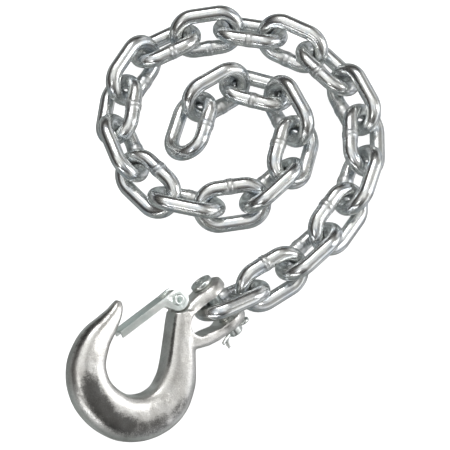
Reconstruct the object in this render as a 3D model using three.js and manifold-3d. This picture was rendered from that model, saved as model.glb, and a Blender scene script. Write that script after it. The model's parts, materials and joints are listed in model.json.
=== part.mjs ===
// Safety chain with a clevis slip hook, as used between a trailer's drawbar and its tow vehicle.
// Millimetres, +Z up. The chain lies coiled on the ground plane z = 0.
import * as THREE from 'three';
import { mergeVertices } from 'three/addons/utils/BufferGeometryUtils.js';
import Module from 'manifold-3d';

const wasm = await Module();
wasm.setup();

// ---- driving dimensions ----
const wireDiameter = 10;
const linkInsideLength = 31.2;
const linkInsideWidth = 14.3;
const linkCount = 24;
const linkPitch = 29.6; // spacing along the route: the inside length less a little slack
const firstLinkLean = 55; // degrees from flat, set by the clevis it hangs in
const firstLinkPitch = 12; // degrees that it falls from the pin to the ground
const lastLinkLean = 33;
const leanPerBend = 0.33; // degrees of extra lean for each degree that the chain turns at a joint
const runningGap = 0.3;

const pinDiameter = 9.5;
const pinHeadDiameter = 14;
const pinHeadThickness = 3;
const pinEndLength = 5; // how far the pin stands out past the lower ear
const cotterWire = 2.4;
const clevisGap = 18; // at the ears; the slot narrows towards its bottom
const earThickness = 7.6;
const earRadius = 11.7;
const neckHeight = 17.4; // of the clevis behind the ears' round noses
const throatDepth = 25; // pin centre to the bottom of the clevis slot
const throatRadius = 7.5;
const throatOffset = 1.5; // the slot's bottom is set towards the mouth

const latchSheet = 1.6;
const latchInsideWidth = 8.4;
const latchDepth = 4.3;
const latchDiscRadius = 6.6;
const latchPivot = new THREE.Vector2(-19.8, 22);
const latchTipPoint = new THREE.Vector2(-61, 29.2);
const rivetDiameter = 4.5;
const lugRadius = 5.6;
const lugTop = 0.5; // the lug fills the channel up to here, and the spring takes the rest
const springWire = 1.4;
const springLeg = 12;

const hookHeading = 45; // degrees from +X, in plan
const hookPitch = 6; // degrees that its clevis end falls
const hookRoll = 33; // degrees that its mouth side is raised

// Centre line of the forged body in the hook's own plane: u towards the chain, v towards the mouth,
// then the width across that plane and the thickness through it.
const hookStations = [
  [-19.3, 13.4, 17.5, 18.6],
  [-24.2, 8.6, 18, 19],
  [-32.8, 0.2, 18.5, 19.5],
  [-40.1, -7.9, 20.5, 20],
  [-50.7, -18.1, 24.5, 20],
  [-63.5, -23.5, 27, 20.5],
  [-77.1, -21.4, 28, 21],
  [-89, -12.6, 28, 22],
  [-95.2, 1.2, 27, 22],
  [-95.1, 15.4, 25, 22],
  [-88.6, 27.8, 22.5, 20.5],
  [-75.8, 36.1, 18.5, 18],
  [-62.7, 39, 13, 13.5],
  [-55, 41.2, 9, 10],
  [-50.8, 43.4, 6.2, 7.5],
  [-48.6, 45, 3.2, 4],
];

// Points that the chain's middle passes over on the ground, from the pin to the free end.
const routePoints = [
  [-9, -63.5], [42, -33.5], [81, 12], [91, 69], [58, 118], [2, 136], [-55, 115], [-71, 60],
  [-37, 12], [21, 12], [42, 35], [48, 62], [33, 89], [4, 95], [-20, 77], [-26, 48], [-13, 28],
];

const rad = THREE.MathUtils.degToRad;

// ---- finishes ----
const finishes = {
  chainZinc: { color: 0xb9c1c6, roughness: 0.28, metalness: 1 },
  forgedZinc: { color: 0xb7b6b0, roughness: 0.42, metalness: 1 },
  pinZinc: { color: 0xb4bcbc, roughness: 0.36, metalness: 1 },
  latchZinc: { color: 0xb5c0bd, roughness: 0.34, metalness: 1 },
  springSteel: { color: 0x6f7274, roughness: 0.4, metalness: 1 },
};

function part(name, geometry, finish) {
  const mesh = new THREE.Mesh(geometry, new THREE.MeshStandardMaterial(finishes[finish]));
  mesh.name = name;
  return mesh;
}

// ---- joins and cuts ----
function toSolid(geometry) {
  const bare = geometry.clone();
  bare.deleteAttribute('normal');
  bare.deleteAttribute('uv');
  const merged = mergeVertices(bare, 1e-4);
  return new wasm.Manifold(new wasm.Mesh({
    numProp: 3,
    vertProperties: new Float32Array(merged.attributes.position.array),
    triVerts: new Uint32Array(merged.index.array),
  }));
}

function fromSolid(solid) {
  const { vertProperties, triVerts } = solid.getMesh();
  const geometry = new THREE.BufferGeometry();
  geometry.setAttribute('position', new THREE.BufferAttribute(vertProperties, 3));
  geometry.setIndex(new THREE.BufferAttribute(triVerts, 1));
  return geometry;
}

// A cylinder or box in the hook's frame, along one of its axes.
function cylinderAlong(axis, radius, from, to, x, y, z, sides = 20) {
  const geometry = new THREE.CylinderGeometry(radius, radius, to - from, sides);
  if (axis === 'u') geometry.rotateZ(Math.PI / 2);
  if (axis === 'n') geometry.rotateX(Math.PI / 2);
  const middle = (from + to) / 2;
  if (axis === 'u') geometry.translate(middle, y, z);
  if (axis === 'v') geometry.translate(x, middle, z);
  if (axis === 'n') geometry.translate(x, y, middle);
  return geometry;
}

function block(low, high) {
  const geometry = new THREE.BoxGeometry(high[0] - low[0], high[1] - low[1], high[2] - low[2]);
  geometry.translate((low[0] + high[0]) / 2, (low[1] + high[1]) / 2, (low[2] + high[2]) / 2);
  return geometry;
}

// ---- the forged hook ----
// Rings of a rounded square section carried along a smooth line through the stations.
function forgedBody(stations, steps, sides) {
  const line = new THREE.CatmullRomCurve3(stations.map(([u, v]) => new THREE.Vector3(u, v, 0)));
  const sizes = new THREE.CatmullRomCurve3(stations.map(([, , w, t]) => new THREE.Vector3(w, t, 0)));
  const positions = [];
  const rounded = (value) => Math.sign(value) * Math.abs(value) ** 0.8;
  for (let i = 0; i <= steps; i += 1) {
    const centre = line.getPoint(i / steps);
    const along = line.getTangent(i / steps);
    const size = sizes.getPoint(i / steps);
    for (let j = 0; j < sides; j += 1) {
      const angle = (j / sides) * 2 * Math.PI;
      const across = (size.x / 2) * rounded(Math.cos(angle));
      const through = (size.y / 2) * rounded(Math.sin(angle));
      positions.push(centre.x - along.y * across, centre.y + along.x * across, through);
    }
  }
  const index = [];
  for (let i = 0; i < steps; i += 1) {
    for (let j = 0; j < sides; j += 1) {
      const a = i * sides + j;
      const b = i * sides + (j + 1) % sides;
      index.push(a, b, a + sides, b, b + sides, a + sides);
    }
  }
  const last = steps * sides;
  for (let j = 1; j < sides - 1; j += 1) {
    index.push(0, j + 1, j, last, last + j, last + j + 1);
  }
  const geometry = new THREE.BufferGeometry();
  geometry.setAttribute('position', new THREE.Float32BufferAttribute(positions, 3));
  geometry.setIndex(index);
  return geometry;
}

// Side view of the clevis: round nose about the pin, running back into the shank.
function clevisBlock() {
  const outline = new THREE.Shape();
  const reach = Math.PI - Math.asin(neckHeight / 2 / earRadius);
  outline.absarc(0, 0, earRadius, -reach, reach, false);
  outline.lineTo(-33, neckHeight / 2);
  outline.lineTo(-33, -neckHeight / 2);
  const halfWidth = clevisGap / 2 + earThickness;
  const geometry = new THREE.ExtrudeGeometry(outline, {
    depth: 2 * halfWidth,
    bevelEnabled: false,
    curveSegments: 14,
  });
  geometry.rotateX(Math.PI / 2);
  geometry.translate(0, halfWidth, 0);
  return geometry;
}

// Plan view of the yoke: it narrows from the ears to the shank.
function yokePlan() {
  const half = clevisGap / 2 + earThickness;
  const outline = new THREE.Shape();
  outline.moveTo(14, -half);
  outline.lineTo(14, half);
  outline.lineTo(-12, half);
  outline.quadraticCurveTo(-26, half, -33, 7);
  outline.lineTo(-33, -6);
  outline.quadraticCurveTo(-23, -half + 1, -8, -half);
  const geometry = new THREE.ExtrudeGeometry(outline, { depth: 30, bevelEnabled: false, curveSegments: 6 });
  geometry.translate(0, 0, -15);
  return geometry;
}

// Plan view of the slot between the ears.
function slotPlan() {
  const half = clevisGap / 2;
  const outline = new THREE.Shape();
  outline.moveTo(16, -half);
  outline.lineTo(16, half);
  outline.lineTo(-9, half);
  const end = -throatDepth + throatRadius;
  outline.absarc(end, throatOffset, throatRadius, Math.PI / 2, 1.5 * Math.PI, false);
  outline.lineTo(-9, -half);
  const geometry = new THREE.ExtrudeGeometry(outline, { depth: 30, bevelEnabled: false, curveSegments: 20 });
  geometry.translate(0, 0, -15);
  return geometry;
}

function hookBody() {
  const lugLow = -latchInsideWidth / 2 + runningGap;
  const disc = latchDiscRadius + 0.8;
  let solid = toSolid(forgedBody(hookStations, 48, 16));
  solid = solid.add(toSolid(clevisBlock()).intersect(toSolid(yokePlan())));
  for (const [low, high] of [[-15, lugLow], [lugTop, 15]]) {
    solid = solid.subtract(toSolid(cylinderAlong('n', disc, low, high, latchPivot.x, latchPivot.y, 0)));
  }
  solid = solid.add(toSolid(cylinderAlong('n', lugRadius, lugLow, lugTop, latchPivot.x, latchPivot.y, 0)));
  solid = solid.add(toSolid(block([-25, 10, lugLow], [latchPivot.x + 3, latchPivot.y, lugTop])));
  solid = solid.subtract(toSolid(slotPlan()));
  solid = solid.subtract(toSolid(cylinderAlong('v', pinDiameter / 2 + runningGap, -30, 30, 0, 0, 0, 24)));
  const rivetHole = rivetDiameter / 2 + runningGap;
  solid = solid.subtract(toSolid(cylinderAlong('n', rivetHole, -9, 9, latchPivot.x, latchPivot.y, 0, 16)));
  return part('hook_body', fromSolid(solid), 'forgedZinc');
}

// ---- pin, cotter ----
const earOuter = clevisGap / 2 + earThickness;
const cotterV = -earOuter - 2.2;

function clevisPin() {
  const r = pinDiameter / 2;
  const headLow = earOuter + runningGap;
  const end = -earOuter - pinEndLength;
  const profile = [
    [0, end], [r - 1, end], [r, end + 1], [r, headLow], [pinHeadDiameter / 2, headLow],
    [pinHeadDiameter / 2, headLow + pinHeadThickness - 1],
    [pinHeadDiameter / 2 - 1, headLow + pinHeadThickness], [0, headLow + pinHeadThickness],
  ].map(([x, y]) => new THREE.Vector2(x, y));
  const shank = toSolid(new THREE.LatheGeometry(profile, 20));
  const hole = cylinderAlong('u', cotterWire / 2 + runningGap, -12, 12, 0, cotterV, 0, 12);
  return part('clevis_pin', fromSolid(shank.subtract(toSolid(hole))), 'pinZinc');
}

// The cotter lies across the pin: its eye stands at the nose's side, and its two legs are bent apart
// towards the hook, one of them down past the pin's end.
function cotterPin() {
  const r = cotterWire / 2;
  const eye = new THREE.TorusGeometry(2.6, r, 8, 14);
  eye.rotateX(Math.PI / 2);
  eye.translate(pinDiameter / 2 + 3.6, cotterV, 0);
  let solid = toSolid(eye);
  solid = solid.add(toSolid(cylinderAlong('u', r, -pinDiameter / 2 - 1, pinDiameter / 2 + 1.5, 0, cotterV, 0, 10)));
  for (const [bend, spread] of [[58, -10], [6, 16]]) {
    const leg = new THREE.CylinderGeometry(r * 0.72, r * 0.8, 8, 8);
    leg.rotateZ(Math.PI / 2);
    leg.translate(-4, 0, 0);
    leg.rotateZ(rad(bend));
    leg.rotateY(rad(spread));
    leg.translate(-pinDiameter / 2 - 0.4, cotterV, 0);
    solid = solid.add(toSolid(leg));
  }
  return part('cotter_pin', fromSolid(solid), 'pinZinc');
}

// ---- spring latch ----
// A folded sheet channel: a disc at the rivet on each side and a web along its outer edge.
function latchPlate() {
  const inner = latchInsideWidth / 2;
  const outer = inner + latchSheet;
  const reach = latchTipPoint.distanceTo(latchPivot);
  const cheek = new THREE.Shape();
  cheek.absarc(0, 0, latchDiscRadius, -Math.PI / 2, Math.PI / 2, false);
  cheek.lineTo(-7, latchDiscRadius - 1);
  cheek.lineTo(-reach, 2.2);
  cheek.lineTo(-reach, 2.2 - latchDepth);
  cheek.lineTo(-9, 0.2);
  const side = new THREE.ExtrudeGeometry(cheek, { depth: 2 * outer, bevelEnabled: false, curveSegments: 12 });
  side.translate(0, 0, -outer);
  const cavity = new THREE.Shape();
  cavity.moveTo(14, 14);
  cavity.lineTo(-8.6, 14);
  cavity.lineTo(-8.6, latchDiscRadius - 1.2 - latchSheet);
  cavity.lineTo(-reach - 4, 2.2 - latchSheet - 0.3);
  cavity.lineTo(-reach - 4, -20);
  cavity.lineTo(14, -20);
  const hollow = new THREE.ExtrudeGeometry(cavity, { depth: 2 * inner, bevelEnabled: false });
  hollow.translate(0, 0, -inner);
  let solid = toSolid(side).subtract(toSolid(hollow));
  solid = solid.subtract(toSolid(cylinderAlong('n', rivetDiameter / 2 + runningGap, -20, 20, 0, 0, 0, 16)));
  const mesh = part('latch_plate', fromSolid(solid), 'latchZinc');
  mesh.position.set(latchPivot.x, latchPivot.y, 0);
  mesh.rotation.z = Math.atan2(latchPivot.y - latchTipPoint.y, latchPivot.x - latchTipPoint.x);
  return mesh;
}

// A tubular rivet: flanged both ends, with a blind bore in its visible end.
function latchRivet() {
  const outer = latchInsideWidth / 2 + latchSheet + runningGap;
  const r = rivetDiameter / 2;
  const profile = [
    [0, -outer - 1.2], [3.4, -outer - 1.2], [3.6, -outer], [r, -outer], [r, outer], [3.6, outer],
    [3.2, outer + 1.2], [1.4, outer + 1.2], [1.4, outer - 3], [0, outer - 3],
  ].map(([x, y]) => new THREE.Vector2(x, y));
  const geometry = new THREE.LatheGeometry(profile, 16);
  geometry.rotateX(Math.PI / 2);
  geometry.translate(latchPivot.x, latchPivot.y, 0);
  return part('latch_rivet', geometry, 'latchZinc');
}

// The spring's turns as one sleeve on the rivet, with the leg that pushes the latch shut.
function latchSpring() {
  const inner = rivetDiameter / 2 + runningGap;
  const low = lugTop + runningGap;
  const high = latchInsideWidth / 2 - runningGap;
  const profile = [
    [inner, low], [inner + springWire, low], [inner + springWire, high], [inner, high], [inner, low],
  ].map(([x, y]) => new THREE.Vector2(x, y));
  const sleeve = new THREE.LatheGeometry(profile, 14);
  sleeve.rotateX(Math.PI / 2);
  const leg = new THREE.CylinderGeometry(springWire / 2, springWire / 2, springLeg, 8);
  leg.rotateZ(Math.PI / 2);
  leg.translate(-springLeg / 2 - 2.2, 2.2, (low + high) / 2);
  const mesh = part('latch_spring', fromSolid(toSolid(sleeve).add(toSolid(leg))), 'springSteel');
  mesh.position.set(latchPivot.x, latchPivot.y, 0);
  mesh.rotation.z = Math.atan2(latchPivot.y - latchTipPoint.y, latchPivot.x - latchTipPoint.x);
  return mesh;
}

// ---- chain ----
// A ring pulled apart along X: its two halves move out by half of the straight length.
function linkGeometry() {
  const bowRadius = (linkInsideWidth + wireDiameter) / 2;
  const halfStraight = (linkInsideLength - linkInsideWidth) / 2;
  const geometry = new THREE.TorusGeometry(bowRadius, wireDiameter / 2, 10, 18);
  const position = geometry.attributes.position;
  for (let i = 0; i < position.count; i += 1) {
    position.setX(i, position.getX(i) + Math.sign(position.getX(i)) * halfStraight);
  }
  return geometry;
}

// Steps of equal straight length along a curve.
function walk(curve, stride, count) {
  const stops = [curve.getPoint(0)];
  const fine = 6000;
  for (let i = 1; i <= fine && stops.length <= count; i += 1) {
    const point = curve.getPoint(i / fine);
    if (point.distanceTo(stops.at(-1)) >= stride) stops.push(point);
  }
  return stops;
}

// Lays a mesh's X along heading and pitch, with its left edge raised by lean.
function layAlong(mesh, heading, pitch, lean) {
  const along = new THREE.Vector3(
    Math.cos(heading) * Math.cos(pitch),
    Math.sin(heading) * Math.cos(pitch),
    Math.sin(pitch),
  );
  const left = new THREE.Vector3(-Math.sin(heading), Math.cos(heading), 0);
  left.applyAxisAngle(along, lean);
  const normal = new THREE.Vector3().crossVectors(along, left);
  mesh.quaternion.setFromRotationMatrix(new THREE.Matrix4().makeBasis(along, left, normal));
  return along;
}

function turnAt(stops, i) {
  const before = Math.atan2(stops[i].y - stops[i - 1].y, stops[i].x - stops[i - 1].x);
  const after = Math.atan2(stops[i + 1].y - stops[i].y, stops[i + 1].x - stops[i].x);
  return ((after - before + 3 * Math.PI) % (2 * Math.PI)) - Math.PI;
}

// Links lean alternately right and left, and lean more where the chain turns, so that neighbours clear.
function chain() {
  const route = new THREE.CatmullRomCurve3(routePoints.map(([x, y]) => new THREE.Vector3(x, y, 0)));
  const stops = walk(route, linkPitch, linkCount);
  const legRise = (linkInsideWidth + wireDiameter) / 2;
  const restHeight = (lean) => legRise * Math.sin(lean) + wireDiameter / 2;
  const shape = linkGeometry();
  const links = [];
  for (let i = 1; i <= linkCount; i += 1) {
    const from = stops[i - 1];
    const to = stops[i];
    const heading = Math.atan2(to.y - from.y, to.x - from.x);
    const side = i % 2 ? -1 : 1;
    const turns = [i - 1, i].filter((k) => k > 0 && k < linkCount).map((k) => turnAt(stops, k));
    const meanTurn = turns.reduce((sum, turn) => sum + turn, 0) / turns.length;
    let lean = rad(45) - side * leanPerBend * meanTurn;
    if (i === linkCount) lean = rad(lastLinkLean);
    const mesh = part(`chain_link_${String(i).padStart(2, '0')}`, shape, 'chainZinc');
    if (i === 1) {
      const along = layAlong(mesh, heading, -rad(firstLinkPitch), -rad(firstLinkLean));
      mesh.position.set(to.x, to.y, restHeight(rad(45))).addScaledVector(along, -linkPitch / 2);
    } else {
      layAlong(mesh, heading, 0, side * lean);
      mesh.position.copy(from).lerp(to, 0.5).setZ(restHeight(lean));
    }
    links.push(mesh);
  }
  return links;
}

// ---- assembly ----
const links = chain();
const hook = new THREE.Group();
hook.add(hookBody(), clevisPin(), cotterPin(), latchPlate(), latchRivet(), latchSpring());
layAlong(hook, rad(hookHeading), -rad(hookPitch), rad(hookRoll));
const pinToLink = linkInsideLength / 2 - pinDiameter / 2 - 2 * runningGap;
hook.position.set(-pinToLink, 0, 0).applyQuaternion(links[0].quaternion).add(links[0].position);

const group = new THREE.Group();
group.add(hook, ...links);
group.updateMatrixWorld(true);
const box = new THREE.Box3().setFromObject(group, true);
group.position.set(-(box.min.x + box.max.x) / 2, -(box.min.y + box.max.y) / 2, -box.min.z);

export default group;
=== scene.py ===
import json

import bmesh
import bpy
import numpy as np
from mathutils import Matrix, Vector


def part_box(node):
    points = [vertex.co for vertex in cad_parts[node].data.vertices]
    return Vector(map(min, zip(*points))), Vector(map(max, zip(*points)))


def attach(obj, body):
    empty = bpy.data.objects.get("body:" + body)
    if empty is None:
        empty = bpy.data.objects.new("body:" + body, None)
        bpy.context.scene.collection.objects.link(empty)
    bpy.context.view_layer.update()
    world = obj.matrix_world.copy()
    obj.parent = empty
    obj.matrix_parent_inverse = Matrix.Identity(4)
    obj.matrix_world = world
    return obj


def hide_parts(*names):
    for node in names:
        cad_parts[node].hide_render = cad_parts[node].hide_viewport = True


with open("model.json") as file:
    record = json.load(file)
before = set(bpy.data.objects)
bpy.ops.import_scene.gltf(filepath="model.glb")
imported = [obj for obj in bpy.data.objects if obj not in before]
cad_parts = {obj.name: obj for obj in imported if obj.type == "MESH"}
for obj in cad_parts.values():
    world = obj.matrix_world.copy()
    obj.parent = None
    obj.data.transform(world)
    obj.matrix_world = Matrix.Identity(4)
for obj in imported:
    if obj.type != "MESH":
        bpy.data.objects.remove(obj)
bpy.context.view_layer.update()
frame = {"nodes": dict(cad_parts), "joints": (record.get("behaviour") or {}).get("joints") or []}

mm = 0.001
print("frame loaded:", len(frame["nodes"]), "nodes")


# Shader values and nodes.
class Value:
    # One output socket. Arithmetic on it adds the Math node that does the sum.
    def __init__(self, nodes, socket):
        self.nodes = nodes
        self.socket = socket

    def sum(self, operation, first, second):
        return self.nodes.add("ShaderNodeMath", {"operation": operation}, {0: first, 1: second})

    def __add__(self, other):
        return self.sum("ADD", self, other)

    def __radd__(self, other):
        return self.sum("ADD", other, self)

    def __sub__(self, other):
        return self.sum("SUBTRACT", self, other)

    def __rsub__(self, other):
        return self.sum("SUBTRACT", other, self)

    def __mul__(self, other):
        return self.sum("MULTIPLY", self, other)

    def __rmul__(self, other):
        return self.sum("MULTIPLY", other, self)

    def __truediv__(self, other):
        return self.sum("DIVIDE", self, other)

    def __pow__(self, other):
        return self.sum("POWER", self, other)


class Nodes:
    # A node tree that grows by one call: the node's type, its settings, then what its sockets get.
    def __init__(self, tree):
        self.tree = tree

    def add(self, kind, settings=None, inputs=None, output=0):
        node = self.tree.nodes.new(kind)
        for name, value in (settings or {}).items():
            if name == "stops":
                ramp = node.color_ramp
                while len(ramp.elements) < len(value):
                    ramp.elements.new(1.0)
                for element, (place, colour) in zip(ramp.elements, value):
                    element.position = place
                    element.color = (*colour, 1.0)
            else:
                setattr(node, name, value)
        for name, value in (inputs or {}).items():
            self.feed(node.inputs[name], value)
        return Value(self, node.outputs[output])

    def feed(self, socket, value):
        if isinstance(value, Value):
            self.tree.links.new(value.socket, socket)
        else:
            socket.default_value = value

    def noise(self, where, scale, detail=3.0, roughness=0.55):
        return self.add("ShaderNodeTexNoise", None,
                        {"Vector": where, "Scale": scale, "Detail": detail, "Roughness": roughness})


# Finishes.
chainZinc = {
    "name": "chain_zinc_bright",
    "tints": [(0.25, (0.60, 0.66, 0.72)), (0.45, (0.74, 0.76, 0.77)), (0.60, (0.78, 0.79, 0.77)),
              (0.75, (0.66, 0.71, 0.74))],
    "tintScale": 110.0,      # patches about 9 mm across
    "roughness": (0.13, 0.30),
    "grainScale": 1400.0,
    "grainDepth": 0.00002,
    "dentScale": 260.0,
    "dentDepth": 0.00008,
    "speckle": 0.10,
}
forgedZinc = {
    "name": "forged_zinc_satin",
    "tints": [(0.28, (0.60, 0.58, 0.56)), (0.45, (0.74, 0.73, 0.70)), (0.58, (0.79, 0.78, 0.76)),
              (0.74, (0.68, 0.69, 0.66))],
    "tintScale": 75.0,
    "roughness": (0.24, 0.42),
    "grainScale": 1200.0,
    "grainDepth": 0.00006,
    "dentScale": 330.0,
    "dentDepth": 0.00012,
    "speckle": 0.38,
    # how deeply the painted dark reflections on the hook's bowl darken the base colour
    "smut": 0.80,
}
pinZinc = {
    "name": "pin_zinc_turned",
    "tints": [(0.3, (0.62, 0.67, 0.66)), (0.5, (0.72, 0.75, 0.73)), (0.7, (0.76, 0.77, 0.73))],
    "tintScale": 160.0,
    "roughness": (0.20, 0.36),
    "grainScale": 1700.0,
    "grainDepth": 0.00005,
    "dentScale": 420.0,
    "dentDepth": 0.00010,
    "speckle": 0.12,
}
latchZinc = {
    "name": "latch_zinc_sheet",
    "tints": [(0.3, (0.76, 0.84, 0.82)), (0.5, (0.84, 0.89, 0.87)), (0.7, (0.88, 0.90, 0.88))],
    "tintScale": 95.0,
    "roughness": (0.22, 0.36),
    "grainScale": 1500.0,
    "grainDepth": 0.00004,
    "dentScale": 300.0,
    "dentDepth": 0.00012,
    "speckle": 0.10,
}
springSteel = {
    "name": "spring_steel_dark",
    "tints": [(0.3, (0.20, 0.21, 0.22)), (0.5, (0.30, 0.31, 0.32)), (0.7, (0.36, 0.36, 0.35))],
    "tintScale": 300.0,
    "roughness": (0.25, 0.42),
    "grainScale": 1800.0,
    "grainDepth": 0.00003,
    "dentScale": 600.0,
    "dentDepth": 0.00005,
    "speckle": 0.14,
}


# Plated metal: slow clouds tint the colour, grain and clouds share the roughness, and the
# height is shallow dents plus fine pitting. A weld attribute dulls and darkens burnt metal.
def plating(look, burnt=False, toned=False):
    material = bpy.data.materials.new(look["name"])
    material.use_nodes = True
    nodes = Nodes(material.node_tree)
    surface = material.node_tree.nodes["Principled BSDF"]
    where = nodes.add("ShaderNodeTexCoord", output=3)
    clouds = nodes.noise(where, look["tintScale"], 4.0, 0.6)
    dents = nodes.noise(where, look["dentScale"], 2.0, 0.5)
    grain = nodes.noise(where, look["grainScale"], 3.0, 0.65)
    colour = nodes.add("ShaderNodeValToRGB", {"stops": look["tints"]}, {"Fac": clouds})
    shade = 1.0 + look["speckle"] * (grain - 0.5) * 2.0
    low, high = look["roughness"]
    rough = low + (high - low) * (0.6 * clouds + 0.6 * grain)
    if burnt:
        weld = nodes.add("ShaderNodeAttribute", {"attribute_name": "weld"}, output=2)
        shade = shade * (1.0 - 0.35 * weld * grain)
        rough = rough + 0.16 * weld
    # painted dark reflections: an attribute of the mesh darkens the base colour where the room would
    # reflect dark
    if toned:
        tone = nodes.add("ShaderNodeAttribute", {"attribute_name": "tone"}, output=2)
        smut = nodes.add("ShaderNodeMapRange", {"interpolation_type": "SMOOTHSTEP"},
                         {"Value": tone + 1.1 * (grain - 0.5) + 0.5 * (dents - 0.5),
                          "From Min": 0.15, "From Max": 0.85})
        shade = shade * (1.0 - look["smut"] * smut)
    grey = nodes.add("ShaderNodeCombineXYZ", None, {0: shade, 1: shade, 2: shade})
    nodes.feed(surface.inputs["Base Color"], nodes.add(
        "ShaderNodeMix", {"data_type": "RGBA", "blend_type": "MULTIPLY"}, {0: 1.0, 6: colour, 7: grey}, 2))
    nodes.feed(surface.inputs["Roughness"], rough)
    surface.inputs["Metallic"].default_value = 1.0
    dentBump = nodes.add("ShaderNodeBump", None,
                         {"Strength": 1.0, "Distance": look["dentDepth"], "Height": dents})
    nodes.feed(surface.inputs["Normal"], nodes.add(
        "ShaderNodeBump", None,
        {"Strength": 1.0, "Distance": look["grainDepth"], "Height": grain, "Normal": dentBump}))
    return material


materials = {
    "chain_zinc": plating(chainZinc, burnt=True),
    "forged_zinc": plating(forgedZinc, toned=True),
    "pin_zinc": plating(pinZinc),
    "latch_zinc": plating(latchZinc),
    "spring_steel": plating(springSteel),
}
print("finishes made:", len(materials))


# Meshes.
# A grid of points becomes quads between neighbouring rows and columns. Columns close into a
# ring. Rows close into a loop, or each end closes with a fan about the middle of its ring.
def gridMesh(name, points, looped=False):
    rows, columns = points.shape[:2]
    index = np.arange(rows * columns).reshape(rows, columns)
    right = np.roll(index, -1, axis=1)
    if looped:
        quads = np.stack([index, right, np.roll(right, -1, axis=0), np.roll(index, -1, axis=0)], -1)
        vertices = points.reshape(-1, 3)
        fans = np.zeros((0, 3), int)
    else:
        quads = np.stack([index[:-1], right[:-1], right[1:], index[1:]], -1)
        vertices = np.concatenate([points.reshape(-1, 3), points[[0, -1]].mean(axis=1)])
        first, last = rows * columns, rows * columns + 1
        start = np.stack([np.full(columns, first), right[0], index[0]], -1)
        end = np.stack([np.full(columns, last), index[-1], right[-1]], -1)
        fans = np.concatenate([start, end])
    mesh = bpy.data.meshes.new(name)
    mesh.from_pydata(vertices.tolist(), [], quads.reshape(-1, 4).tolist() + fans.tolist())
    mesh.validate()
    return outwards(mesh)


# Turns every face of a closed mesh outwards.
def outwards(mesh):
    work = bmesh.new()
    work.from_mesh(mesh)
    bmesh.ops.recalc_face_normals(work, faces=work.faces)
    work.to_mesh(mesh)
    work.free()
    return mesh


def place(mesh, smooth=True):
    piece = bpy.data.objects.new(mesh.name, mesh)
    bpy.context.scene.collection.objects.link(piece)
    mesh.polygons.foreach_set("use_smooth", np.full(len(mesh.polygons), smooth))
    return piece


# Bakes the modifiers of a piece into a plain mesh of its own.
def settle(piece):
    evaluated = piece.evaluated_get(bpy.context.evaluated_depsgraph_get())
    mesh = bpy.data.meshes.new_from_object(evaluated)
    old = piece.data
    mesh.name = old.name
    piece.modifiers.clear()
    piece.data = mesh
    bpy.data.meshes.remove(old)
    return piece


def combine(piece, tool, operation):
    step = piece.modifiers.new(operation, "BOOLEAN")
    step.operation = operation
    step.solver = "MANIFOLD"
    step.object = tool
    settle(piece)
    bpy.data.objects.remove(tool)
    return piece


# Points in the hook's own millimetres, u to the chain, v to the mouth and n up, to the frame.
joints = {joint["name"]: joint for joint in frame["joints"]}
pinPlace = np.array(joints["pin_turn"]["pos_m"])
vAxis = np.array(joints["pin_turn"]["axis"])
nAxis = np.array(joints["latch_open"]["axis"])
hookAxes = np.array([np.cross(vAxis, nAxis), vAxis, nAxis])
pivot = (hookAxes @ (np.array(joints["latch_open"]["pos_m"]) - pinPlace) / mm)[:2]


def onHook(points):
    return pinPlace + mm * np.asarray(points, float) @ hookAxes


# A profile of (radius, height) pairs turned about an axis of the hook, from a point on it.
def turned(name, profile, base, axis, sides=64):
    profile = np.array(profile, float)
    around = np.linspace(0, 2 * np.pi, sides, endpoint=False)
    basis = np.roll(np.eye(3), 2 - axis, axis=0)   # two directions across the axis, then the axis
    ring = np.cos(around)[:, None] * basis[0] + np.sin(around)[:, None] * basis[1]
    points = profile[:, None, :1] * ring + profile[:, None, 1:] * basis[2] + np.array(base, float)
    return gridMesh(name, onHook(points))


# A flat outline in u and v carried from one height n to another, with one face at each end.
def prism(name, outline, low, high):
    outline = np.array(outline, float)
    count = len(outline)
    points = np.empty((2, count, 3))
    points[:, :, :2] = outline
    points[:, :, 2] = [[low], [high]]
    index = np.arange(count)
    right = np.roll(index, -1)
    walls = np.stack([index, right, right + count, index + count], -1)
    mesh = bpy.data.meshes.new(name)
    mesh.from_pydata(onHook(points).reshape(-1, 3).tolist(), [],
                     walls.tolist() + [index[::-1].tolist(), (index + count).tolist()])
    return outwards(mesh)


def arc(centre, radius, start, end, count):
    angle = np.radians(np.linspace(start, end, count))
    return np.stack([centre[0] + radius * np.cos(angle), centre[1] + radius * np.sin(angle)], -1)


# Rows of knots joined by cubic curves, spaced by the square root of the distance between them.
def smoothLine(knots, count):
    knots = np.array(knots, float)
    gaps = np.linalg.norm(np.diff(knots[:, :2], axis=0), axis=1) ** 0.5
    reach = np.concatenate([[0.0], np.cumsum(gaps)])
    slope = np.gradient(knots, reach, axis=0)
    at = np.linspace(0, reach[-1], count)
    k = np.clip(np.searchsorted(reach, at, side="right") - 1, 0, len(reach) - 2)
    span = (reach[k + 1] - reach[k])[:, None]
    t = (at - reach[k])[:, None] / span
    return ((2 * t**3 - 3 * t**2 + 1) * knots[k] + (t**3 - 2 * t**2 + t) * span * slope[k]
            + (3 * t**2 - 2 * t**3) * knots[k + 1] + (t**3 - t**2) * span * slope[k + 1])


def power(value, exponent):
    return np.sign(value) * np.abs(value) ** exponent


# Round wire along a path, its ring turned with the path's own direction.
def wire(name, path, radius, flat=1.0, side=(0, 0, 1), ring=16):
    path = np.array(path, float)
    along = np.gradient(path, axis=0)
    along /= np.linalg.norm(along, axis=1, keepdims=True)
    across = np.cross(along, side)
    across /= np.linalg.norm(across, axis=1, keepdims=True)
    through = np.cross(across, along)
    around = np.linspace(0, 2 * np.pi, ring, endpoint=False)
    points = (path[:, None] + radius * flat * np.cos(around)[None, :, None] * across[:, None]
              + radius * np.sin(around)[None, :, None] * through[:, None])
    return gridMesh(name, onHook(points))


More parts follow.
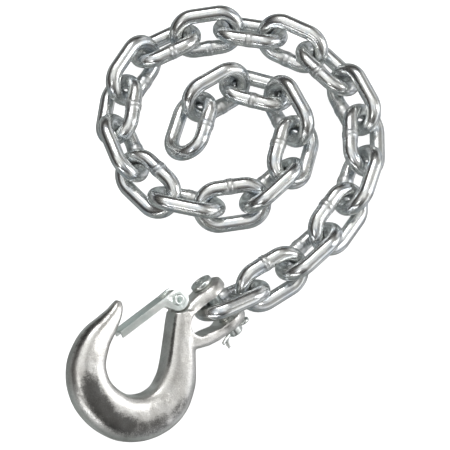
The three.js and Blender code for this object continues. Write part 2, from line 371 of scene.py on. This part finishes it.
# The forged hook.
forging = {
    # centre line in u and v, then the width across and the thickness through
    "stations": [
        (-19.3, 13.4, 17.5, 18.6), (-24.2, 8.6, 18, 19), (-32.8, 0.2, 18.5, 19.5),
        (-40.1, -7.9, 20.5, 20), (-50.7, -18.1, 24.5, 20),
        (-63.5, -23.5, 27, 20.5), (-77.1, -21.4, 28, 21), (-89, -12.6, 28, 22), (-95.2, 1.2, 27, 22),
        (-95.1, 15.4, 25, 22), (-88.6, 27.8, 22.5, 20.5), (-75.8, 36.1, 18.5, 18), (-62.7, 39, 13, 13.5),
        (-55, 41.2, 9, 10), (-50.8, 43.4, 6.2, 7.5), (-48.6, 45, 3.4, 4.2),
    ],
    "toneRise": 3.0,         # mm above the hook's middle plane where the painted dark reflections are full
    "clevisGap": 18.0,
    "earThickness": 7.6,
    "earRadius": 11.7,
    "neck": 9.2,
    # half width of the yoke at points of u, on the mouth side and on the back
    "yokeMouth": ((-33, 7), (-29, 11), (-24.2, 14.2), (-18, 16.1)),
    "yokeBack": ((-33, 6), (-27.7, 10.3), (-21.7, 13.4), (-15, 15.4)),
    "yokeStart": -33,
    "noseTaper": 0.13,
    "slotEnd": (-17.5, 1.5, 7.5),     # middle in u and v and radius of the slot's round bottom
    "pinHole": 5.05,
    "rivetHole": 2.55,
    "pocket": 7.7,
    "lug": 5.6,
    "lugLow": -3.9,
    "lugTop": 0.5,
    "voxel": 0.0006,
    "handwork": 0.10,        # mm of unevenness left by the dies
    # painted dark reflections: t and s of the middle, half length in t, half width in s, depth
    "tones": [(0.62, 0.15, 0.09, 0.52, 1.0), (0.52, 0.26, 0.07, 0.48, 0.95), (0.43, 0.34, 0.07, 0.40, 0.80),
              (0.33, 0.36, 0.05, 0.32, 0.60), (0.84, 0.90, 0.12, 0.16, 0.7),
              (0.12, -0.86, 0.12, 0.09, 0.8)],
}
halfWidth = forging["clevisGap"] / 2 + forging["earThickness"]


# The bowl: rings along the centre line. Each ring is a superellipse whose exponents ease from
# a round outer side to a flat inner wall.
def bowl():
    line = smoothLine(forging["stations"], 220)
    along = np.gradient(line[:, :2], axis=0)
    along /= np.linalg.norm(along, axis=1, keepdims=True)
    around = np.linspace(0, 2 * np.pi, 72, endpoint=False)
    inner = 0.5 - 0.5 * np.cos(around)
    across = power(np.cos(around), 0.88 - 0.42 * inner)
    through = power(np.sin(around), 0.82 - 0.26 * inner)
    width = line[:, 2:3] / 2 * across
    points = np.empty((len(line), len(around), 3))
    points[:, :, 0] = line[:, 0:1] - along[:, 1:2] * width
    points[:, :, 1] = line[:, 1:2] + along[:, 0:1] * width
    points[:, :, 2] = line[:, 3:4] / 2 * through
    return gridMesh("hookForging", onHook(points))


# The clevis yoke: rounded oblong rings from the shank to the noses of the ears.
def yoke():
    nose = forging["earRadius"]
    back = np.linspace(forging["yokeStart"], 0, 66)
    front = nose * np.sin(np.linspace(0, 0.5 * np.pi, 40))[1:]
    u = np.concatenate([back, front[:-1], [nose - 0.02]])
    mouthSide = np.interp(u, *np.transpose((*forging["yokeMouth"], (-12, halfWidth), (12, halfWidth))))
    backSide = np.interp(u, *np.transpose((*forging["yokeBack"], (-8, halfWidth), (12, halfWidth))))
    disc = np.sqrt(np.maximum(nose**2 - u**2, 0.04))
    rise = np.where(u > -6, disc, np.interp(u, [-20, -12, -9.5, -8, -7, -6], [
        forging["neck"], forging["neck"] - 0.4, forging["neck"] - 0.2, 9.2, 9.6, 10.04]))
    taper = 1.0 - forging["noseTaper"] * np.clip(u / nose, 0, 1)[:, None] ** 3
    around = np.linspace(0, 2 * np.pi, 72, endpoint=False)
    width = np.where(np.cos(around) > 0, mouthSide[:, None], backSide[:, None]) * taper
    points = np.empty((len(u), len(around), 3))
    points[:, :, 0] = u[:, None]
    points[:, :, 1] = width * power(np.cos(around), 0.42)
    points[:, :, 2] = rise[:, None] * power(np.sin(around), 0.46)
    return gridMesh("yoke", onHook(points))


def forgedHook():
    body = place(bowl())
    combine(body, place(yoke()), "UNION")
    for low, high in ((-16.0, forging["lugLow"]), (forging["lugTop"], 16.0)):
        pocket = prism("pocket", arc(pivot, forging["pocket"], 0, 355, 72), low, high)
        combine(body, place(pocket), "DIFFERENCE")
    lug = np.concatenate([arc(pivot, forging["lug"], -60, 180, 50), [(-25.0, 10.0), (-16.8, 10.0)]])
    combine(body, place(prism("lug", lug, forging["lugLow"], forging["lugTop"])), "UNION")
    half = forging["clevisGap"] / 2
    u, v, radius = forging["slotEnd"]
    mouth = [(-9, -half), (16, -half), (16, half), (-9, half)]
    slot = np.concatenate([arc((u, v), radius, 90, 270, 48), mouth])
    combine(body, place(prism("slot", slot, -16, 16)), "DIFFERENCE")
    skin = body.modifiers.new("skin", "REMESH")
    skin.mode = "VOXEL"
    skin.voxel_size = forging["voxel"]
    soften = body.modifiers.new("soften", "SMOOTH")
    soften.factor = 0.5
    soften.iterations = 12
    settle(body)
    unevenness(body.data, forging["handwork"] * mm)
    bore = [(0, -20), (forging["pinHole"], -20), (forging["pinHole"], 20), (0, 20)]
    combine(body, place(turned("bore", tidyEnds(bore), (0, 0, 0), 1)), "DIFFERENCE")
    eye = [(0, -12), (forging["rivetHole"], -12), (forging["rivetHole"], 12), (0, 12)]
    combine(body, place(turned("eye", tidyEnds(eye), (*pivot, 0), 2)), "DIFFERENCE")
    return body


# A profile's ends stand a hair off the axis, so that a ring there isn't one point.
def tidyEnds(profile):
    profile = np.array(profile, float)
    profile[:, 0] = np.maximum(profile[:, 0], 0.01)
    return profile


# Low waves along the normals, from sines of the place in three slanting directions.
def unevenness(mesh, depth):
    count = len(mesh.vertices)
    where = np.empty(count * 3, np.float32)
    mesh.vertices.foreach_get("co", where)
    normals = np.empty(count * 3, np.float32)
    mesh.vertex_normals.foreach_get("vector", normals)
    where = where.reshape(-1, 3)
    slants = np.array([(310, 170, -90), (-120, 390, 210), (240, -260, 330), (560, 410, -380)], float)
    wave = np.sin(where @ slants.T + np.array([0.3, 1.9, 4.1, 2.2])).mean(axis=1)
    moved = where + normals.reshape(-1, 3) * (wave[:, None] * depth)
    mesh.vertices.foreach_set("co", moved.astype(np.float32).ravel())
    mesh.update()


# Painted dark reflections on the upper side of the bowl, kept as an attribute of the mesh. t runs along the
# centre line from shank to point and s across it, -1 at the mouth side and 1 at the outer side.
def paintDarkReflections(piece):
    count = len(piece.data.vertices)
    where = np.empty(count * 3, np.float32)
    piece.data.vertices.foreach_get("co", where)
    where = (where.reshape(-1, 3) - pinPlace) @ hookAxes.T / mm
    line = smoothLine(forging["stations"], 160)
    along = np.gradient(line[:, :2], axis=0)
    along /= np.linalg.norm(along, axis=1, keepdims=True)
    apart = where[:, None, :2] - line[None, :, :2]
    nearest = (apart ** 2).sum(axis=2).argmin(axis=1)
    offset = apart[np.arange(count), nearest]
    out = np.stack([-along[nearest, 1], along[nearest, 0]], -1)
    s = (offset * out).sum(axis=1) / (line[nearest, 2] / 2)
    t = nearest / (len(line) - 1)
    tone = np.zeros(count)
    for middleT, middleS, halfLength, halfWide, depth in forging["tones"]:
        fall = (np.abs((t - middleT) / halfLength)) ** 4 + (np.abs((s - middleS) / halfWide)) ** 3
        tone = np.maximum(tone, depth * np.exp(-fall))
    tone *= np.clip(where[:, 2] / forging["toneRise"], 0, 1)
    layer = piece.data.attributes.new("tone", "FLOAT", "POINT")
    layer.data.foreach_set("value", tone.astype(np.float32))


hook = forgedHook()
# painted dark reflections on the upper side of the bowl
paintDarkReflections(hook)
print("hook forged:", len(hook.data.polygons), "faces")

# Clevis pin and cotter.
pin = {
    "radius": 4.75,
    "head": 7.0,
    "headThickness": 3.0,
    "gap": 0.3,
    "end": 5.0,
    "recess": (2.5, 4.1, 0.55),   # ring in the head: inner and outer radius, depth
    "cotterWire": 1.15,
    "cotterOffset": 2.2,
}


def clevisPin():
    r, head = pin["radius"], pin["head"]
    low = halfWidth + pin["gap"]
    top = low + pin["headThickness"]
    end = -halfWidth - pin["end"]
    inner, outer, depth = pin["recess"]
    profile = [
        (0, end), (r - 1.1, end), (r - 0.9, end + 0.05), (r - 0.05, end + 0.9), (r, end + 1.1),
        (r, low - 0.3), (r + 0.1, low), (head - 0.3, low), (head, low + 0.35), (head, top - 0.9),
        (head - 0.25, top - 0.35), (head - 0.8, top - 0.05), (head - 1.2, top), (outer + 0.25, top),
        (outer, top - 0.1), (outer - 0.15, top - depth), (inner + 0.15, top - depth),
        (inner, top - 0.12), (inner - 0.3, top), (1.2, top - 0.05), (0.5, top - 0.35), (0, top - 0.4),
    ]
    shank = place(turned("clevisPin", tidyEnds(profile), (0, 0, 0), 1, 96))
    hole = [(0, -12), (pin["cotterWire"] + 0.3, -12), (pin["cotterWire"] + 0.3, 12), (0, 12)]
    at = -halfWidth - pin["cotterOffset"]
    return combine(shank, place(turned("hole", tidyEnds(hole), (0, at, 0), 0, 32)), "DIFFERENCE")


# Half-round wire doubled over: along one leg, round the eye and back. One leg stays nearly
# straight and the other curls down past the pin's end.
def cotterPin():
    at = -halfWidth - pin["cotterOffset"]
    half, tips = 0.62, pin["radius"] + 0.4
    loop = arc((pin["radius"] + 3.6, 0), 2.6, 155, -155, 24)
    straight = [(-tips - 7.2, at - 0.9, half + 1.9), (-tips - 3.5, at - 0.3, half + 0.8),
                (-tips + 0.6, at, half)]
    curled = [(-tips + 0.6, at, -half), (-tips - 1.6, at - 0.9, -half - 0.1),
              (-tips - 3.2, at - 3.2, -half - 0.3),
              (-tips - 4.0, at - 5.6, -half - 0.6), (-tips - 3.8, at - 7.0, -half - 0.7)]
    eye = [(u, at, n) for u, n in loop]
    corners = np.array(straight + [(tips - 0.4, at, half)] + eye + [(tips - 0.4, at, -half)] + curled)
    reach = np.concatenate([[0.0], np.cumsum(np.linalg.norm(np.diff(corners, axis=0), axis=1) ** 0.5)])
    steps = np.linspace(0, reach[-1], 240)
    path = np.stack([np.interp(steps, reach, corners[:, axis]) for axis in range(3)], -1)
    for _ in range(6):
        path[1:-1] = (path[:-2] + 2 * path[1:-1] + path[2:]) / 4
    return place(wire("cotterPin", path, pin["cotterWire"], 0.62, (0, 1, 0)))


pinPiece = clevisPin()
cotterPiece = cotterPin()
print("pin and cotter made")

# Spring latch.
latch = {
    "sheet": 1.6,
    "inside": 8.4,
    "depth": 4.3,
    "disc": 6.6,
    "tip": (-61.0, 29.2),
    "rivetHole": 2.55,
    "edge": 0.45,
}
latchLine = pivot - np.array(latch["tip"])
reach = np.linalg.norm(latchLine)
latchAlong = latchLine / reach


# From the latch's own x and y, x from its tip to the rivet, to u and v of the hook.
def onLatch(outline):
    outline = np.array(outline, float)
    side = np.array([-latchAlong[1], latchAlong[0]])
    return pivot + outline[:, :1] * latchAlong + outline[:, 1:] * side


def latchPlate():
    inner = latch["inside"] / 2
    outer = inner + latch["sheet"]
    disc = latch["disc"]
    cheek = np.concatenate([
        arc((0, 0), disc, -90, 90, 40),
        [(-7, disc - 1), (-reach, 2.2), (-reach, 2.2 - latch["depth"]), (-9.5, 0.9)],
        arc((0, 0), disc, -150, -96, 12),
    ])
    plate = place(prism("latchPlate", onLatch(cheek), -outer, outer))
    hollow = [(14, 14), (-8.6, 14), (-8.6, disc - 1.2 - latch["sheet"]),
              (-reach - 4, 2.2 - latch["sheet"] - 0.3), (-reach - 4, -20), (14, -20)]
    combine(plate, place(prism("hollow", onLatch(hollow), -inner, inner)), "DIFFERENCE")
    hole = arc((0, 0), latch["rivetHole"], 0, 354, 60)
    combine(plate, place(prism("hole", onLatch(hole), -20, 20)), "DIFFERENCE")
    soft = plate.modifiers.new("edges", "BEVEL")
    soft.width = latch["edge"] * mm
    soft.segments = 3
    soft.limit_method = "ANGLE"
    soft.angle_limit = np.radians(35)
    settle(plate)
    return plate


# A tube set over at both ends, with its bore open on the side that shows.
def latchRivet():
    face = latch["inside"] / 2 + latch["sheet"] + 0.3
    profile = [
        (0, -face - 1.0), (2.2, -face - 1.2), (3.1, -face - 1.0), (3.55, -face - 0.5), (3.55, -face),
        (2.25, -face), (2.25, face), (3.6, face), (3.6, face + 0.4), (3.2, face + 0.95),
        (2.7, face + 1.2), (2.1, face + 1.15), (1.6, face + 0.8), (1.4, face + 0.3),
        (1.35, face - 3), (0, face - 3.2),
    ]
    return place(turned("latchRivet", tidyEnds(profile), (*pivot, 0), 2, 72))


# Two turns about the rivet, with one leg out along the latch.
def latchSpring():
    thick = 0.5
    low, high = forging["lugTop"] + 0.3 + thick, latch["inside"] / 2 - 0.3 - thick
    lie = np.degrees(np.arctan2(latchAlong[1], latchAlong[0]))
    turn = np.linspace(lie + 92, lie + 92 + 2 * 360 + 60, 190)
    coil = np.concatenate([arc(pivot, 3.25, turn[0], turn[-1], len(turn)),
                           np.linspace(high, low, len(turn))[:, None]], axis=1)
    ends = onLatch([(-14.0, 2.6), (-8.0, 3.1)])
    leg = np.array([(*ends[0], high), (*ends[1], high)])
    steps = np.linspace(0, 1, 24, endpoint=False)[:, None]
    out = leg[0] + (coil[0] - leg[0]) * steps
    path = np.concatenate([out, coil])
    return place(wire("latchSpring", path, thick, ring=14))


platePiece = latchPlate()
rivetPiece = latchRivet()
springPiece = latchSpring()
print("latch made:", len(platePiece.data.polygons), "faces")

# Chain.
chain = {
    "insideLength": 31.2,
    "insideWidth": 14.3,
    "wire": 4.97,            # radius
    "bulge": 0.42,           # how far the weld stands out
    "bulgeLength": 2.3,
    "flash": 0.34,           # the two upset ridges beside the joint
    "flashPlace": 1.15,
    "flashLength": 0.38,
    # the leg with each link's weld: 1 left, -1 right, seen from above towards the free end
    "weldSides": [1] * 24,
    "rings": (96, 26, 50),   # along the welded leg, the other leg and each bend
}


# The CAD link's own axes, from its vertices: along, across and through, and its middle.
def linkAxes(node, towards):
    count = len(node.data.vertices)
    where = np.empty(count * 3, np.float32)
    node.data.vertices.foreach_get("co", where)
    where = np.unique(where.reshape(-1, 3).round(7), axis=0).astype(float)
    middle = (where.min(axis=0) + where.max(axis=0)) / 2
    vectors = np.linalg.eigh(np.cov((where - middle).T))[1]
    along, through = vectors[:, 2], vectors[:, 0]
    along = along * np.sign(along @ (towards - middle))
    through = through * np.sign(through[2])
    return middle, np.array([along, np.cross(through, along), through])


# The wire's middle runs round a stadium. The radius swells at the weld, with a ridge on each
# side of the joint: r = wire + bulge exp(-(d/length)^2) + flash ridges at d = +place and -place.
def linkMesh(name, middle, axes, side, seed):
    bow = (chain["insideWidth"] / 2 + chain["wire"])
    half = (chain["insideLength"] - chain["insideWidth"]) / 2
    weldRings, plainRings, bendRings = chain["rings"]
    dense = np.sinh(np.linspace(-1, 1, weldRings) * 3.0) / np.sinh(3.0) * half     # finer at the weld
    plain = np.linspace(-half, half, plainRings)
    bend = np.linspace(-0.5, 0.5, bendRings)[1:-1] * np.pi
    weldLeg = np.stack([dense, np.full(weldRings, -bow)], -1)
    right = np.stack([half + bow * np.cos(bend), bow * np.sin(bend)], -1)
    otherLeg = np.stack([-plain, np.full(plainRings, bow)], -1)
    left = np.stack([-half - bow * np.cos(bend), -bow * np.sin(bend)], -1)
    line = np.concatenate([weldLeg, right, otherLeg, left])
    out = np.concatenate([
        np.tile((0.0, -1.0), (weldRings, 1)), np.stack([np.cos(bend), np.sin(bend)], -1),
        np.tile((0.0, 1.0), (plainRings, 1)), np.stack([-np.cos(bend), -np.sin(bend)], -1)])
    farAway = 99.0
    signed = np.where(np.arange(len(line)) < weldRings, line[:, 0], farAway)[:, None]
    distance = np.abs(signed)
    around = np.linspace(0, 2 * np.pi, 40, endpoint=False)[None, :]
    lumps = 0.75 + 0.25 * np.sin(3 * around + seed) * np.sin(2 * around + 2.1 * seed)
    swell = chain["bulge"] * np.exp(-(distance / chain["bulgeLength"]) ** 2)
    ridges = sum(np.exp(-((signed - at) / chain["flashLength"]) ** 2)
                 for at in (chain["flashPlace"], -chain["flashPlace"]))
    trimmed = 0.55 + 0.45 * np.cos(around)       # less flash stands on the inside of the link
    axes = axes * np.array([[1.0], [-side], [1.0]])
    rise = ((np.cos(around) * out[:, :1])[..., None] * axes[0]
            + (np.cos(around) * out[:, 1:])[..., None] * axes[1] + np.sin(around)[..., None] * axes[2])
    clear = np.clip(1.0 + 1.3 * rise[:, :, 2], 0.0, 1.0)      # the ground keeps the underside bare
    radius = chain["wire"] + (swell + chain["flash"] * ridges * lumps * trimmed) * clear
    radius = radius * mm
    centre = middle + mm * (line[:, :1] * axes[0] + line[:, 1:] * axes[1])
    mesh = gridMesh(name, centre[:, None] + radius[..., None] * rise, looped=True)
    weld = mesh.attributes.new("weld", "FLOAT", "POINT")
    burnt = np.exp(-(distance / 3.2) ** 2) * np.ones_like(around)
    weld.data.foreach_set("value", burnt.astype(np.float32).ravel())
    return mesh


linkNames = sorted(name for name in frame["nodes"] if name.startswith("chain_link_"))
middles = [np.array(sum(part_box(name), Vector()) / 2) for name in linkNames]
heads = middles[1:] + [2 * middles[-1] - middles[-2]]
links = []
for number, (name, head) in enumerate(zip(linkNames, heads)):
    middle, axes = linkAxes(frame["nodes"][name], head)
    mesh = linkMesh("chainLink" + name[-2:], middle, axes, chain["weldSides"][number], 1.7 * number)
    links.append(place(mesh))
print("chain made:", len(links), "links")


# The pieces take the places of their nodes.
def stand(piece, body, node, slot):
    piece.data.materials.clear()
    piece.data.materials.append(materials[slot])
    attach(piece, body)
    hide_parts(node)


stand(hook, "hook", "hook_body", "forged_zinc")
stand(pinPiece, "pin", "clevis_pin", "pin_zinc")
stand(cotterPiece, "pin", "cotter_pin", "pin_zinc")
stand(platePiece, "latch", "latch_plate", "latch_zinc")
stand(rivetPiece, "hook", "latch_rivet", "latch_zinc")
stand(springPiece, "latch", "latch_spring", "spring_steel")
for name, piece in zip(linkNames, links):
    stand(piece, name.replace("chain_", ""), name, "chain_zinc")

# Floor, light and camera.
studio = {
    "floorSize": 8.0,
    "floorColour": (0.50, 0.50, 0.50),
    "floorGlow": 0.95,
    "lights": [
        # name, place, aim, width, height, power
        ("keyLight", (-0.20, 0.62, 1.00), (0, 0, 0), 0.50, 0.22, 3.2),
        ("sideLight", (0.95, -0.05, 0.55), (0, 0, 0), 0.30, 0.60, 2.6),
        ("frontLight", (-0.45, -0.75, 0.90), (0, 0, 0), 0.30, 0.20, 0.9),
        ("rimLight", (-0.40, -0.95, 0.26), (0, -0.05, 0.02), 0.80, 0.12, 1.5),
    ],
    "cameraPlace": (-0.0056, -0.3147, 0.8150),
    "cameraAim": (-0.0056, -0.0019, 0.0),
    "lens": 108.0,
    # brightness of the surroundings by height, straight down to straight up
    "roomSide": [(0.00, (0.28, 0.29, 0.29)), (0.15, (0.42, 0.46, 0.45)), (0.32, (0.26, 0.28, 0.28)),
                 (0.44, (0.42, 0.43, 0.42)), (0.52, (0.30, 0.30, 0.30)), (0.57, (0.04, 0.04, 0.045)),
                 (0.70, (0.07, 0.065, 0.06)), (0.80, (0.20, 0.19, 0.18)), (0.87, (0.40, 0.39, 0.38)),
                 (0.92, (1.05, 1.05, 1.04)), (1.00, (1.00, 1.00, 0.98))],
    "windowSide": [(0.00, (0.30, 0.31, 0.32)), (0.20, (0.80, 0.81, 0.83)), (0.40, (0.35, 0.36, 0.38)),
                   (0.52, (1.25, 1.26, 1.28)), (0.66, (1.00, 1.00, 1.00)), (0.78, (0.62, 0.61, 0.58)),
                   (0.88, (0.50, 0.49, 0.47)), (0.93, (1.05, 1.05, 1.04)), (1.00, (1.00, 1.00, 0.98))],
    "windowEdge": (0.30, 0.80),   # how far round towards +X the bright side starts and is full
    "patches": ((0.42, 0.42), (0.56, 1.12)),    # noise value, brightness there
    "patchScale": 3.4,
}

half = studio["floorSize"] / 2
ground = bpy.data.meshes.new("studioFloor")
corners = [(-half, -half, 0), (half, -half, 0), (half, half, 0), (-half, half, 0)]
ground.from_pydata(corners, [], [(0, 1, 2, 3)])
floor = place(ground, smooth=False)
floorPaint = bpy.data.materials.new("studio_white")
floorPaint.use_nodes = True
paint = floorPaint.node_tree.nodes["Principled BSDF"]
paint.inputs["Base Color"].default_value = (*studio["floorColour"], 1.0)
paint.inputs["Roughness"].default_value = 0.9
paint.inputs["Emission Color"].default_value = (1.0, 1.0, 1.0, 1.0)
paint.inputs["Emission Strength"].default_value = studio["floorGlow"]
ground.materials.append(floorPaint)
floor.visible_glossy = False      # the metal mirrors the room below the horizon instead


def aimed(name, data, spot, aim):
    thing = bpy.data.objects.new(name, data)
    thing.location = spot
    thing.rotation_euler = (Vector(aim) - Vector(spot)).to_track_quat("-Z", "Y").to_euler()
    bpy.context.scene.collection.objects.link(thing)
    return thing


for name, spot, aim, width, height, watts in studio["lights"]:
    lamp = bpy.data.lights.new(name, "AREA")
    lamp.shape = "RECTANGLE"
    lamp.size = width
    lamp.size_y = height
    lamp.energy = watts
    aimed(name, lamp, spot, aim)

camera = bpy.data.cameras.new("camera")
camera.lens = studio["lens"]
camera.clip_start = 0.01
bpy.context.scene.camera = aimed("camera", camera, studio["cameraPlace"], studio["cameraAim"])

# The room: a brightness for each height above the horizon, one set for the side with the
# window and one for the rest, with slow patches so that no reflection is even.
world = bpy.data.worlds.new("studioRoom")
world.use_nodes = True
bpy.context.scene.world = world
room = Nodes(world.node_tree)
direction = room.add("ShaderNodeTexCoord")
east = room.add("ShaderNodeSeparateXYZ", None, {0: direction})
height = room.add("ShaderNodeSeparateXYZ", None, {0: direction}, 2)
upness = 0.5 * height + 0.5
near, full = studio["windowEdge"]
towards = room.add("ShaderNodeMapRange", {"interpolation_type": "SMOOTHSTEP"},
                   {"Value": east, "From Min": near, "From Max": full})
dull = room.add("ShaderNodeValToRGB", {"stops": studio["roomSide"]}, {"Fac": upness})
lit = room.add("ShaderNodeValToRGB", {"stops": studio["windowSide"]}, {"Fac": upness})
both = room.add("ShaderNodeMix", {"data_type": "RGBA"}, {0: towards, 6: dull, 7: lit}, 2)
patch = room.noise(direction, studio["patchScale"], 2.0, 0.5)
background = world.node_tree.nodes["Background"]
room.feed(background.inputs["Color"], both)
(low, dim), (high, bright) = studio["patches"]
room.feed(background.inputs["Strength"], room.add(
    "ShaderNodeMapRange", {"interpolation_type": "SMOOTHSTEP"},
    {"Value": patch, "From Min": low, "From Max": high, "To Min": dim, "To Max": bright}))
bpy.context.scene.view_settings.view_transform = "Standard"
print("studio lit")
